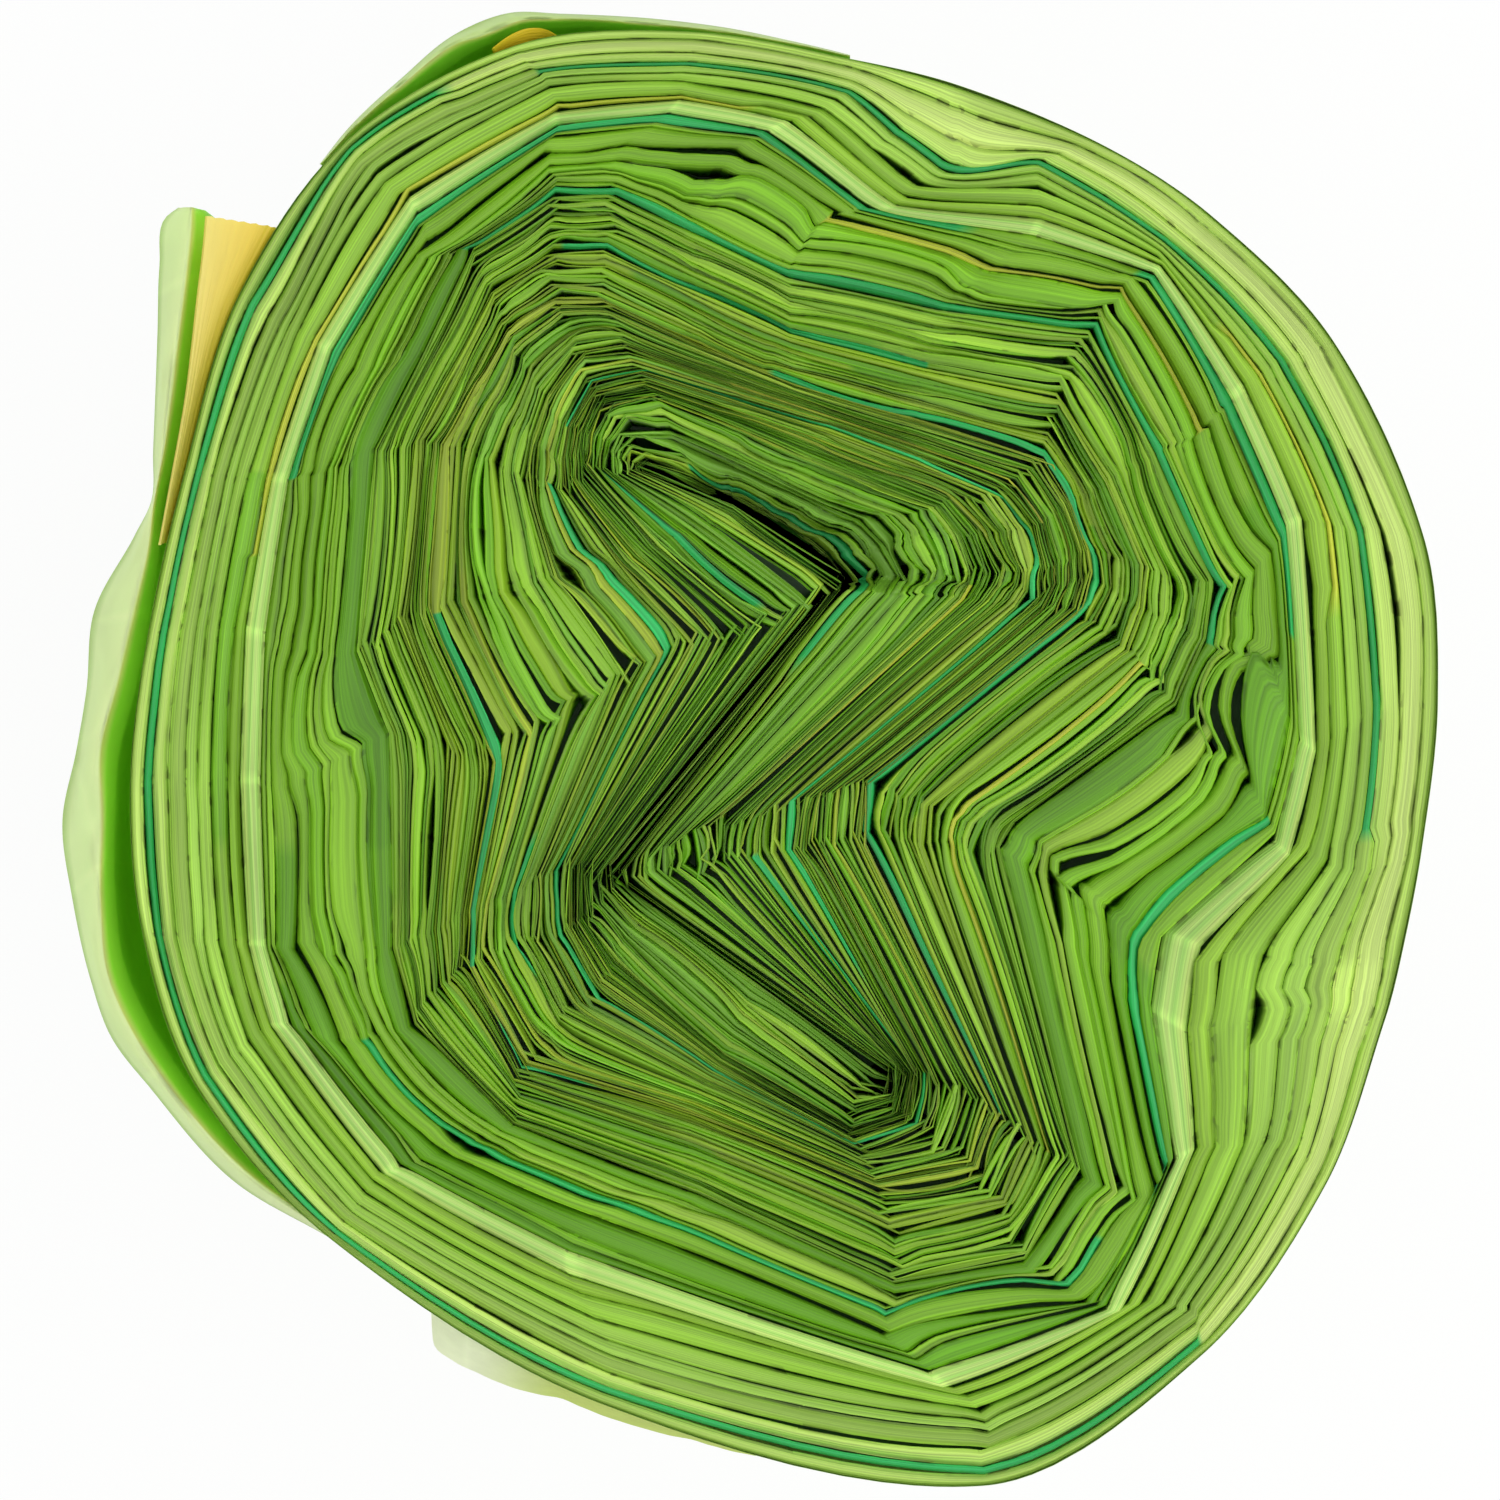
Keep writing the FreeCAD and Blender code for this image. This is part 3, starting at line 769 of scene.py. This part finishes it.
def leaf_tints(low_edge, high_edge, main, positions, gap_shade, slipped, crest_painted_light, numbers):
    """Colours across and along one leaf: with painted shade in the gaps, painted light by height and
    side, and changing where a bag ends.
    """
    share = (low_edge + high_edge) / 2
    other = COMMON_GREENS[numbers.integers(len(COMMON_GREENS))]
    own = main + (other - main) * OWN_GREEN
    pale = numbers.uniform(*PALENESS) * ease(RIBBON_SHARES[1], PALEST_FROM, share)
    own = own * (1 - pale) + RIM_GREEN * pale
    other = other * (1 - pale) + RIM_GREEN * pale
    start, length = numbers.random(2) * CREASES
    changed = ((positions - start) % CREASES) < length / 2
    face = np.where(changed[:, None], other, own)
    for lines, colour in ((TEAL_LINES, TEAL), (OLIVE_LINES, OLIVE)):
        shown, _ = on_line(low_edge, high_edge, lines, positions)
        face = np.where(shown[:, None], colour, face)
    streaks = STREAKS * wander(positions, STREAK_PERIOD, numbers)[0]
    streaks = streaks + LEAF_LIGHT * numbers.standard_normal()
    stretches = by_stretch(numbers.standard_normal((1, CREASES)), positions, LIGHT_BLEND)[0]
    # random streaks of tone, times painted light for a high crest and painted shade where turns slipped
    # into the core
    light = crest_painted_light * (1 + streaks + STRETCH_LIGHT * stretches) * (1 - CORE_SHADE * slipped)
    plies = 1 + PLY_LIGHT * numbers.standard_normal((len(ACROSS) - 2, 1, 1))
    # painted light and shade: one side of a leaf is lighter, mostly the outer one, and a painted
    # highlight runs along its fold
    side = numbers.choice([1, -1], p=LIGHT_SIDE_ODDS)
    plies[:, 0, 0] += SIDE_SHADE * side * (2 * ACROSS[1:-1] - 1)
    plies[-1 if side > 0 else 0] += FOLD_GLINT
    rows = face[None] * plies
    if low_edge == RIBBON_SHARES[0]:
        # painted highlight where the ribbon's folds catch the light
        near_crease = 1 - ease(*RIBBON_HIGHLIGHT_REACH, np.abs(positions - np.round(positions)))
        rows = RIBBON_GREENS[:, None, :] * (1 + RIBBON_FOLD_HIGHLIGHT * near_crease[None, :, None])
    rows = rows * light[None, :, None]
    # painted shade: the rows in the gaps go towards the dark shade green
    low_in = rows[0] + (GAP_SHADE_GREEN - rows[0]) * gap_shade[0][:, None]
    low_out = rows[-1] + (GAP_SHADE_GREEN - rows[-1]) * gap_shade[1][:, None]
    return np.clip(np.concatenate([low_in[None], rows, low_out[None]]), 0, 1)


OUTERMOST_SHARE = 0.995   # the leaves end just inside the outermost turn


def leaf_points(lines, inner, outer, gaps, edges, heights, gap_levels):
    """Points of one leaf: the bottom of the gap before it, its face, and the gap after it.
    heights are those of its face and gap_levels those of the two gaps."""
    span = outer - inner
    face = [inner + span * across for across in ACROSS[1:-1]]
    share = np.stack([inner - gaps[0] / 2] + face + [outer + gaps[1] / 2])
    share = np.minimum(share, OUTERMOST_SHARE)
    way = (share - edges[0]) / (edges[1] - edges[0])
    spot = place(lines[0] + (lines[1] - lines[0]) * way[..., None])
    return np.concatenate([spot, np.vstack([gap_levels[:1], heights, gap_levels[1:]])[..., None]], -1)


BUNDLE_GAP_SHADE = 0.55  # painted shade: how near a groove's green comes to the dark shade green
LEAF_GAP_SHADE = 0.22
RIM_GAP_SHADE = 0.25     # as a part of those
OPEN_GAP_SHADE = 2.5     # for each unit of a gap's openness
FULLY_OPEN = 0.9         # openness at which a gap has its full depth
PLY_PERIOD = 2.0         # in creases


def end_face(name, level, direction, count, sunk, seed):
    """Every leaf of one end of the roll. direction is 1 for the upper end and -1 for the lower."""
    numbers = np.random.default_rng(seed)
    positions = sample_positions()
    edges = leaf_edges(count, numbers)
    starts = bundle_starts(edges, numbers)
    nominal = np.diff(edges)
    leaves = len(nominal)
    lines, inner, outer, gap_width, openness = lay_leaves(edges, starts, positions, numbers)
    crest, tilt, crest_painted_light, groove, slipped = leaf_relief(edges, starts, positions, numbers)
    lower_side = np.minimum(np.vstack([crest[:1], crest]), np.vstack([crest, crest[-1:]]))
    gap_level = lower_side - groove - DEEPEST_GAP * np.minimum(openness, FULLY_OPEN)
    gap_shade = np.where(starts, BUNDLE_GAP_SHADE, LEAF_GAP_SHADE)[:, None]
    gap_shade = np.clip(gap_shade * near_rim(edges, RIM_GAP_SHADE) + OPEN_GAP_SHADE * openness, 0, 1)
    drawn = numbers.integers(len(COMMON_GREENS), size=leaves)
    mains = COMMON_GREENS[drawn][np.cumsum(starts[:-1]) - 1]
    ways = np.concatenate([[0], np.cumsum(nominal)]) * LEAF_MAP_SCALE
    from_middle = 2 * ACROSS[1:-1, None] - 1
    one = grid_faces(len(ACROSS), len(positions), True)[:, ::direction]
    pieces = []
    for first in range(0, leaves, LEAVES_PER_PIECE):
        points = []
        tints = []
        rows = []
        faces = []
        for leaf in range(first, min(first + LEAVES_PER_PIECE, leaves)):
            plies = PLY_RELIEF * wander(positions, PLY_PERIOD, numbers, len(ACROSS) - 2)
            rounding = LEAF_ROUNDING * nominal[leaf] * (1 - from_middle**2)
            heights = crest[leaf] + tilt[leaf] * from_middle + plies + rounding
            leaf_rows = leaf_points(lines[leaf], inner[leaf], outer[leaf], gap_width[leaf:leaf + 2],
                                    edges[leaf:leaf + 2], heights, gap_level[leaf:leaf + 2])
            leaf_rows[..., 2] = level + direction * (leaf_rows[..., 2] - sunk)
            faces.append(one + len(points) * len(ACROSS) * len(positions))
            points.append(leaf_rows)
            tints.append(leaf_tints(edges[leaf], edges[leaf + 1], mains[leaf], positions,
                                    gap_shade[leaf:leaf + 2], slipped[leaf], crest_painted_light[leaf], numbers))
            rows.append(ways[leaf] + (ways[leaf + 1] - ways[leaf]) * ACROSS)
        slits = np.tile(SLITS_ACROSS, len(points))[:, None]
        pieces.append(build_piece("%s_leaves_%d" % (name, len(pieces) + 1), np.concatenate(points),
                                  np.concatenate(faces), np.concatenate(tints), slits,
                                  np.concatenate(rows), stacked_film))
    return pieces


upper = end_face("upper", TOP, 1, UPPER_LEAVES, UPPER_SINK, seed=11)
lower = end_face("lower", BOTTOM, -1, LOWER_LEAVES, LOWER_SINK, seed=12)
for piece in upper + lower:
    hand_over(piece, "wound_bags")

# Packed plies below the end faces.
# The web goes on down the roll. Where leaves part, the eye sees plies a few millimetres down,
# and in the collapsed core it sees a floor a little deeper; both are coloured dark green as painted
# shade.
UNDER_LEAVES = DEEPEST_GAP
CORE_DEPTH = 0.009
BED_SHARES = np.linspace(0.0, 1.0, 12)
BED_SINK = -0.0009       # the beds end this far inside the outermost turn
CORE_FLOOR_PARTS = (1.0, 0.5, 0.02)
# painted shade for the plies and core floor deep in the gaps
BED_SHADE_GREEN = linear("1F5206")
# No light comes through so many plies, so this film is opaque, with strong dark lines
packed_film = film_material("packed_polyethylene_film", see_through=0.0,
                            line_scale=(40.0, 4.0, 1.0), line_contrast=0.3)


def ring_at(share, positions, grow=0.0):
    """A contour in metres, moved outwards by grow."""
    line = place(trace(crease_points(share), positions, share))
    run = np.roll(line, -1, 0) - np.roll(line, 1, 0)
    run /= lengths(run)
    return line + np.stack([-run[:, 1], run[:, 0]], -1) * np.reshape(grow, (-1, 1))


def at_level(line, level):
    """Points of a plane line lifted to a level."""
    return np.concatenate([line, np.broadcast_to(level, line.shape[:1])[:, None]], -1)


positions = sample_positions()
for name, level, direction in (("upper_bed", TOP, 1), ("lower_bed", BOTTOM, -1)):
    rows = [at_level(ring_at(0.0, positions), level - direction * CORE_DEPTH)]
    for share in BED_SHARES:
        rows.append(at_level(ring_at(share, positions, BED_SINK), level - direction * UNDER_LEAVES))
    bed = sheet_piece(name, np.stack(rows), BED_SHADE_GREEN, packed_film, True, direction < 0)
    hand_over(bed, "wound_bags")

core_line = ring_at(0.0, positions)
core_middle = core_line.mean(0)
rows = []
for part in CORE_FLOOR_PARTS:
    rows.append(at_level(core_middle + (core_line - core_middle) * part, TOP - CORE_DEPTH))
core = sheet_piece("core_floor", np.stack(rows), BED_SHADE_GREEN, packed_film, True, True)
hand_over(core, "wound_bags")

# Outermost turn.
# The outside of the wound web is one smooth ply of film with soft lengthwise folds and slanting
# wrinkles. Its colour is a little deeper over the middle, where the folded web has more plies.
HEIGHT = TOP - BOTTOM
WALL_SINK = 0.00005
END_LEVELS = np.array([0.0, 0.0004, 0.0012, 0.0028, 0.0056])
WALL_LEVELS = 34
END_ROUNDING = 0.00004
ROUNDED_OVER = 0.009
FOLD_RELIEF = 0.00009
FOLD_PERIOD = 0.35       # in creases
WRINKLE_RELIEF = 0.00016
WRINKLE_PERIOD = 1.1
# painted light and shade along the slanting wrinkles
WRINKLE_SHADE = 0.03
DEEPEST_DENT = 0.0006
WRINKLE_TURNS = 2.5      # the wrinkles slant: their pattern shifts this often on the way up
PLY_EDGES = (0.19, 0.81)  # heights, as shares, between which the web has more plies
PLY_EDGE_BLEND = 0.01
PLY_DEEPENING = 0.09
WALL_MAP_LENGTH = 0.01   # the film map counts one for this length along the roll
SIDE_GREEN = linear("A3CC5A")
# The outer ply is glossy and lets a little light in, with faint streaks round the roll
wall_film = film_material("outer_polyethylene_film", see_through=0.10,
                          line_scale=(18.0, 0.9, 1.0), line_contrast=0.05, crinkles=0.0012)

numbers = np.random.default_rng(seed=21)
between = np.linspace(ROUNDED_OVER, HEIGHT - ROUNDED_OVER, WALL_LEVELS)
levels = BOTTOM + np.concatenate([END_LEVELS, between, HEIGHT - END_LEVELS[::-1]])
folds = wander(positions, FOLD_PERIOD, numbers)[0]
wrinkles = wander(positions, WRINKLE_PERIOD, numbers, 2)
rows = []
tints = []
for level in levels:
    height = (level - BOTTOM) / HEIGHT
    swing = WRINKLE_TURNS * 2 * math.pi * height
    slanting = wrinkles[0] * math.cos(swing) + wrinkles[1] * math.sin(swing)
    inside = ease(0, ROUNDED_OVER, min(level - BOTTOM, TOP - level))
    relief = (FOLD_RELIEF * folds + WRINKLE_RELIEF * slanting) * inside
    grow = np.clip(relief, -DEEPEST_DENT, WALL_SINK) - WALL_SINK - END_ROUNDING * (1 - inside)
    rows.append(at_level(ring_at(1.0, positions, grow), level))
    more_plies = (ease(PLY_EDGES[0] - PLY_EDGE_BLEND, PLY_EDGES[0], height)
                  * (1 - ease(PLY_EDGES[1], PLY_EDGES[1] + PLY_EDGE_BLEND, height)))
    # deeper where the web has more plies, with painted light and shade along the slanting wrinkles
    shade = 1 - PLY_DEEPENING * more_plies + WRINKLE_SHADE * slanting
    tints.append(SIDE_GREEN * shade[:, None])
wall = sheet_piece("outer_wall", np.stack(rows), np.stack(tints), wall_film, True, False,
                   levels / WALL_MAP_LENGTH)
hand_over(wall, "wound_bags")

# Loose end and loose outermost turn.
# The last bag isn't stuck down. Its end stands off at the left and it bulges at the upper left.
# The web is folded over at its top, so its ridge shows as a bright line, a painted highlight, with the
# pale outer ply to one side of it, painted pale for the light that comes through it, and the deep green
# inner ply inside, which gets its light through the film and is painted a brighter green for it.
LOOSE_END_OUTER = [(330, 1241), (232, 1182), (150, 1091), (108, 1036), (88, 980), (70, 900), (60, 820),
                   (74, 750), (84, 690), (91, 612), (132, 535), (149, 500), (151, 450), (155, 330),
                   (157, 265), (164, 215), (176, 206)]
LOOSE_END_RIDGE = [(336, 1236), (245, 1170), (166, 1082), (132, 1030), (108, 975), (101, 900), (102, 820),
                   (101, 750), (116, 690), (135, 612), (149, 545), (153, 508), (164, 450), (180, 330),
                   (188, 265), (192, 225), (192, 207)]
LOOSE_END_INNER = [(342, 1230), (256, 1160), (186, 1080), (152, 1026), (126, 970), (115, 900), (114, 820),
                   (120, 750), (136, 690), (150, 612), (158, 548), (160, 512), (174, 450), (192, 330),
                   (200, 265), (206, 225), (206, 209)]
LOOSE_TURN_OUTER = [(318, 162), (345, 128), (400, 76), (455, 31), (510, 10), (560, 11), (650, 16),
                    (730, 26), (800, 40), (850, 53)]
LOOSE_TURN_RIDGE = [(321, 164), (349, 133), (401, 86), (462, 42), (477, 38), (524, 20), (556, 19),
                    (650, 24), (731, 33), (800, 45), (850, 56)]
LOOSE_TURN_INNER = [(325, 167), (355, 140), (407, 98), (455, 63), (470, 52), (526, 30), (560, 26),
                    (650, 30), (732, 38), (800, 50), (850, 59)]
SHEET_LEVELS = 26
SHEET_SAMPLES = 160
SHEET_SWAY = 0.00014
SWAY_PERIOD = 2.5        # these periods count 24 for the length of the sheet
HEM_HEIGHT = 0.0022      # the outer ply bends in over this height below the ridge
HEM_PARTS = (0.2, 0.4, 0.6, 0.8, 0.92)
CRUMPLE = 0.00014
CRUMPLE_PERIOD = 0.9
# painted light: the hem's rows grow lighter towards the ridge
RIDGEWARD_PAINTED_LIGHT = 0.05
RIDGE_SINK = 0.0004
RIDGE_SWAY = 0.00015
RIDGE_FOLD = 0.0008
RIDGE_FOLD_PART = 0.3    # of the way from the ridge to the inner ply
PALE_HEM = 0.005         # towards its top the sheet lets more light through and is painted paler for it, from this height on
HEM_PAINTED_LIGHT = 0.4
INNER_LEAN = 0.012       # over this height the inner ply leans to the ridge,
INNER_LEAN_PART = 0.2    # by this part of the way
SHEET_MAP_STEP = 0.3
# painted highlight: the tint of the ridge's bright line
RIDGE_HIGHLIGHT_YELLOW = linear("DDE382")
# Two single plies: most of their light comes through from behind, which makes them pale; their tints are
# painted pale as well
loose_film = film_material("loose_polyethylene_film", see_through=0.40,
                           line_scale=(12.0, 0.6, 1.0), line_contrast=0.04, crinkles=0.0009)


def smooth_line(pixels, samples):
    """A rounded line through pixels of the photograph, in metres, with evenly spaced samples."""
    points = place(pixels)
    span = np.concatenate([[0], np.cumsum(np.linalg.norm(np.diff(points, axis=0), axis=1))])
    ahead = np.gradient(points, span, axis=0)
    at = np.linspace(0, span[-1], samples)
    index = np.clip(np.searchsorted(span, at, "right") - 1, 0, len(span) - 2)
    length = (span[index + 1] - span[index])[:, None]
    way = (at - span[index])[:, None] / length
    return bent_line(points, ahead[index] * length, ahead[index + 1] * length, index, index + 1, way)


def loose_sheet(name, outer_line, ridge_line, inner_line, pale, inner_lit_tint, seed):
    """A standing doubled sheet of film: up its outer ply, painted pale at its top as painted light, over
    the ridge, painted as a highlight, and down its inner ply, whose tint is painted brighter as painted
    light.
    The other end of the web, at the bottom of the roll, is folded in the same way."""
    numbers = np.random.default_rng(seed)
    outer = smooth_line(outer_line, SHEET_SAMPLES)
    ridge = smooth_line(ridge_line, SHEET_SAMPLES)
    inner = smooth_line(inner_line, SHEET_SAMPLES)
    swell = wander(np.linspace(0, CREASES, SHEET_SAMPLES), SWAY_PERIOD, numbers, 3)
    even = np.linspace(BOTTOM + PALE_HEM, TOP - PALE_HEM, SHEET_LEVELS)
    near_hem = np.array([HEM_HEIGHT, (HEM_HEIGHT + PALE_HEM) / 2])
    levels = np.concatenate([BOTTOM + near_hem, even, TOP - near_hem[::-1]])
    rows = []
    tints = []
    for level in levels:
        turn = math.pi * (level - BOTTOM) / HEIGHT
        sway = SHEET_SWAY * (swell[0] * math.sin(turn) + swell[1] * math.sin(2 * turn))
        rows.append(at_level(outer + sway[:, None], level))
        paleness = HEM_PAINTED_LIGHT * ease(PALE_HEM, HEM_HEIGHT, TOP - level)
        tints.append(SIDE_GREEN * (1 - paleness) + pale * paleness)
    crumples = wander(np.linspace(0, CREASES, SHEET_SAMPLES), CRUMPLE_PERIOD, numbers, len(HEM_PARTS))
    for part, crumple in zip(HEM_PARTS, crumples):
        level = TOP - HEM_HEIGHT * (1 - part) ** 2 - RIDGE_SINK
        rows.append(at_level(outer + (ridge - outer) * part, level + CRUMPLE * crumple))
        tints.append(pale * (1 + RIDGEWARD_PAINTED_LIGHT * part))
    ridge_level = TOP + RIDGE_SWAY * np.minimum(swell[2], 1) - RIDGE_SINK
    rows.append(at_level(ridge, ridge_level))
    tints.append(RIDGE_HIGHLIGHT_YELLOW)
    rows.append(at_level(ridge + (inner - ridge) * RIDGE_FOLD_PART, ridge_level - RIDGE_FOLD))
    tints.append(inner_lit_tint)
    for level in levels[::-1]:
        lean = INNER_LEAN_PART * ease(TOP - INNER_LEAN, TOP, level)
        rows.append(at_level(inner + (ridge - inner) * lean, level))
        tints.append(inner_lit_tint)
    rows.append(at_level(ridge, BOTTOM + RIDGE_SINK / 2))
    tints.append(RIDGE_HIGHLIGHT_YELLOW)
    rows.append(rows[0])
    tints.append(pale)
    shell = np.stack(rows)
    # both ends of the doubled sheet close on a line half-way between its plies
    closing = (shell + shell[::-1]) / 2
    shell = np.concatenate([closing[:, :1], shell, closing[:, -1:]], 1)
    return sheet_piece(name, shell, np.stack(tints)[:, None, :], loose_film, False, False,
                       np.arange(len(shell)) * SHEET_MAP_STEP)


# the inner tints are painted brighter, as painted light for the light that comes through the film
loose_end = loose_sheet("loose_end", LOOSE_END_OUTER, LOOSE_END_RIDGE, LOOSE_END_INNER,
                        linear("EEFABC"), linear("B5FF50"), seed=31)
hand_over(loose_end, "wound_bags")
loose_turn = loose_sheet("loose_turn", LOOSE_TURN_OUTER, LOOSE_TURN_RIDGE, LOOSE_TURN_INNER,
                         linear("D6EC9C"), linear("A0E84A"), seed=32)
hand_over(loose_turn, "wound_bags")

# Torn scrap.
# A small piece of a single ply was left on the outermost turn, at the lower left, where two bags
# were torn apart. It is so thin that it looks nearly white.
SCRAP_FOOT = [(430, 1300), (450, 1318), (490, 1342), (540, 1366), (600, 1392), (680, 1420), (760, 1440)]
SCRAP_EDGE = [(431, 1328), (434, 1348), (452, 1363), (503, 1386), (560, 1402), (640, 1430), (756, 1458)]
SCRAP_SAMPLES = 60
SCRAP_ROWS = np.linspace(0, 1, 7)
SCRAP_SINK = 0.0012
SCRAP_SLOPE = 0.0010
TORN_EDGE = 0.00003
TORN_PERIOD = 1.5
WHITE_PART = (0.15, 0.45)   # along the scrap its white turns to olive between these
SCRAP_WHITE = linear("F6F8DC")
SCRAP_OLIVE = linear("D2DE7E")
foot = smooth_line(SCRAP_FOOT, SCRAP_SAMPLES)
edge = smooth_line(SCRAP_EDGE, SCRAP_SAMPLES)
numbers = np.random.default_rng(seed=51)
torn = TORN_EDGE * wander(np.linspace(0, CREASES, SCRAP_SAMPLES), TORN_PERIOD, numbers)[0]
rows = []
for part in SCRAP_ROWS:
    line = foot + (edge - foot) * part + torn[:, None] * part
    rows.append(at_level(line, TOP - SCRAP_SINK - SCRAP_SLOPE * part))
along = np.linspace(0, 1, SCRAP_SAMPLES)[:, None]
scrap_tints = SCRAP_WHITE + (SCRAP_OLIVE - SCRAP_WHITE) * ease(*WHITE_PART, along)
scrap = sheet_piece("torn_scrap", np.stack(rows), scrap_tints, loose_film, False, True)
hand_over(scrap, "wound_bags")

# Drawstring tapes.
# Yellow film, folded lengthwise and gathered in the hem of the last bag. The end of one stands
# up beside the loose end and leans on the roll, and the other shows under the loose turn.
TAPE_TOP = [(160, 545), (172, 480), (186, 400), (198, 300), (205, 240), (207, 216)]
TAPE_ALONG_RIM = (4.56, 6.42)   # positions on the rim between which the tape touches it
INNER_TAPE_TOP = [(494, 48), (510, 36), (530, 28), (548, 30), (560, 38)]
INNER_TAPE_FOOT = [(496, 56), (512, 48), (530, 44), (548, 43), (562, 44)]
TAPE_SAMPLES = 90
TAPE_HEIGHT = 0.022
TAPE_SINK = 0.0003
LEAN_HEIGHT = 0.0005
LEAN_ROWS = np.linspace(0, 1, 18)
DROP_ROWS = np.linspace(0, 1, 9)[1:]
GATHER = 0.00003
GATHERS = 6
TAPE_THICKNESS = 0.0001
TAPE_MAP_STEP = 0.4
# Thicker than the bags' film and strongly coloured; light still glows through it
tape_film = film_material("yellow_drawtape_film", see_through=0.35,
                          line_scale=(3.0, 1.5, 1.0), line_contrast=0.03)


def tape_sheet(name, top, foot, node, top_tint, foot_tint):
    """A strip of tape that leans against the roll, with its soft lengthwise gathers."""
    rows = []
    tints = []
    for part in LEAN_ROWS:
        line = top + (foot - top) * part + GATHER * math.sin(2 * math.pi * GATHERS * part)
        rows.append(at_level(line, TOP - TAPE_SINK - LEAN_HEIGHT * part))
        tints.append(top_tint + (foot_tint - top_tint) * part)
    for part in DROP_ROWS:
        drop = LEAN_HEIGHT + (TAPE_HEIGHT - LEAN_HEIGHT) * part
        rows.append(at_level(foot, TOP - TAPE_SINK - drop))
        tints.append(foot_tint)
    inner = np.stack(rows)
    back = (inner + (-TAPE_THICKNESS, 0, -TAPE_THICKNESS))[::-1]
    shell = np.concatenate([inner, back, inner[:1]])
    colours = np.stack(tints + tints[::-1] + tints[:1])[:, None, :]
    piece = sheet_piece(name, shell, colours, tape_film, False, False,
                        np.arange(len(shell)) * TAPE_MAP_STEP)
    hand_over(piece, node)


rim_beside_tape = ring_at(1.0, np.linspace(*TAPE_ALONG_RIM, TAPE_SAMPLES))
tape_sheet("outer_tape", smooth_line(TAPE_TOP, TAPE_SAMPLES), rim_beside_tape, "outer_drawtape",
           linear("FFF08C"), linear("FFE250"))
tape_sheet("inner_tape", smooth_line(INNER_TAPE_TOP, TAPE_SAMPLES),
           smooth_line(INNER_TAPE_FOOT, TAPE_SAMPLES), "inner_drawtape",
           linear("F8DC38"), linear("E8BC20"))
